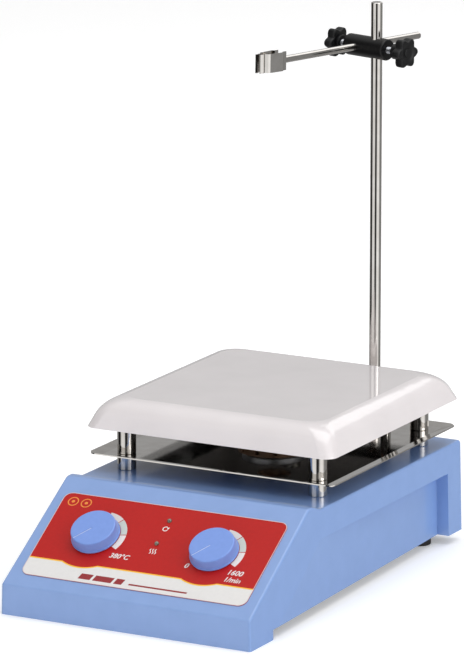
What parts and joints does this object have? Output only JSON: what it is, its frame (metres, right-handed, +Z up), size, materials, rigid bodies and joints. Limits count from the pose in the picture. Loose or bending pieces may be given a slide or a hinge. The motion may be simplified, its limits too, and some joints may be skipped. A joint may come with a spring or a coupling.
{
  "type": "magnetic stirrer",
  "caption": "Hotplate magnetic stirrer with a sloped control face, glazed plate on posts over a drip tray, and a support rod with a clamp, arm and probe clip.",
  "frame": {"origin": "on the surface it stands on, under the centre of the whole stirrer", "axes": "+Z up out of the heating plate; +X to the right of someone facing the controls, which look along -Y"},
  "size_m": [0.19, 0.3896, 0.372],
  "materials": {
    "housing_paint": "smooth light blue enamel paint, semi-gloss",
    "knob_blue": "moulded blue plastic, satin",
    "control_label": "printed red polyester overlay with a white strip",
    "glazed_plate": "white glazed ceramic coat, glossy",
    "polished_stainless": "polished stainless steel",
    "zinc_steel": "zinc-plated steel",
    "black_metal": "black satin coat",
    "black_plastic": "black moulded plastic",
    "bracket_alloy": "cast or turned aluminium, satin",
    "foot_rubber": "black rubber",
    "indicator_lens": "small translucent lens",
    "brown_phenolic": "brown phenolic and mica",
    "motor_steel": "steel can",
    "brass": "brass",
    "magnet_nickel": "nickel-plated magnet",
    "board_green": "green laminate and terminals",
    "component_dark": "dark component bodies",
    "wire_sleeve": "sleeved wire"
  },
  "bodies": {
    "base": {"housing": "housing_paint", "base_plate": "zinc_steel", "rubber_feet": "foot_rubber", "foot_screws": "zinc_steel", "control_label": "control_label", "heat_indicator": "indicator_lens", "stir_indicator": "indicator_lens", "heat_potentiometer": "black_plastic", "stir_potentiometer": "black_plastic", "pot_nuts": "zinc_steel", "heating_plate": "glazed_plate", "heater_element": "brown_phenolic", "heater_insulation": "brown_phenolic", "heater_cover": "zinc_steel", "heater_cover_screws": "zinc_steel", "temperature_sensor": "motor_steel", "plate_studs": "zinc_steel", "stud_nuts": "zinc_steel", "upper_posts": "polished_stainless", "lower_posts": "polished_stainless", "drip_tray": "polished_stainless", "wire_conduit": "polished_stainless", "insulating_ring": "brown_phenolic", "stir_motor": "motor_steel", "motor_bracket": "zinc_steel", "motor_screws": "zinc_steel", "circuit_board": "board_green", "board_standoffs": "bracket_alloy", "board_screws": "zinc_steel", "transformer": "component_dark", "heat_sink": "bracket_alloy", "triac": "zinc_steel", "capacitors": "component_dark", "terminal_blocks": "board_green", "heater_leads": "wire_sleeve", "mains_wires": "wire_sleeve", "power_inlet": "black_plastic", "inlet_pins": "brass", "inlet_screws": "zinc_steel", "rod_bracket": "bracket_alloy", "bracket_screws": "zinc_steel"},
    "heat_dial": {"heat_knob": "knob_blue", "heat_knob_shaft": "brass"},
    "stir_dial": {"stir_knob": "knob_blue", "stir_knob_shaft": "brass"},
    "stir_drive": {"drive_shaft": "zinc_steel", "magnet_carrier": "bracket_alloy", "drive_magnets": "magnet_nickel"},
    "rod": {"support_rod": "polished_stainless", "rod_locknut": "zinc_steel"},
    "clamp": {"bosshead": "black_metal"},
    "rod_thumbscrew": {"rod_screw": "zinc_steel", "rod_star_knob": "black_plastic"},
    "arm_thumbscrew": {"arm_screw": "zinc_steel", "arm_star_knob": "black_plastic"},
    "arm": {"clip_arm": "polished_stainless"},
    "clip": {"clip_collar": "polished_stainless", "clip_jaw_left": "polished_stainless", "clip_jaw_right": "polished_stainless"}
  },
  "joints": [
    {"name": "heat_dial_turn", "type": "hinge", "parent": "base", "child": "heat_dial", "pos_m": [-0.0462, -0.15005, 0.04949], "axis": [0, 0.5396, -0.8419], "range_deg": [0, 280]},
    {"name": "stir_dial_turn", "type": "hinge", "parent": "base", "child": "stir_dial", "pos_m": [0.0439, -0.15005, 0.04949], "axis": [0, 0.5396, -0.8419], "range_deg": [0, 280]},
    {"name": "stir_drive_spin", "type": "hinge", "parent": "base", "child": "stir_drive", "pos_m": [0, 0.0165, 0.08], "axis": [0, 0, 1], "continuous": true},
    {"name": "rod_turn", "type": "hinge", "parent": "base", "child": "rod", "pos_m": [0.019, 0.1315, 0.06], "axis": [0, 0, 1], "range_deg": [-170, 170]},
    {"name": "clamp_height", "type": "slide", "parent": "rod", "child": "clamp", "axis": [0, 0, 1], "range_m": [-0.2, 0.022]},
    {"name": "rod_thumbscrew_turn", "type": "hinge", "parent": "clamp", "child": "rod_thumbscrew", "pos_m": [0.03841, 0.12666, 0.3395], "axis": [0.9703, -0.2419, 0], "range_deg": [0, 350]},
    {"name": "arm_thumbscrew_turn", "type": "hinge", "parent": "clamp", "child": "arm_thumbscrew", "pos_m": [-0.01011, 0.13876, 0.3395], "axis": [-0.9703, 0.2419, 0], "range_deg": [0, 350]},
    {"name": "arm_slide", "type": "slide", "parent": "clamp", "child": "arm", "axis": [0.2419, 0.9701, -0.0209], "range_m": [-0.05, 0.066]},
    {"name": "clip_roll", "type": "hinge", "parent": "arm", "child": "clip", "pos_m": [-0.01529, 0.05308, 0.34127], "axis": [0.2419, 0.9701, -0.0209], "range_deg": [-90, 90]}
  ]
}
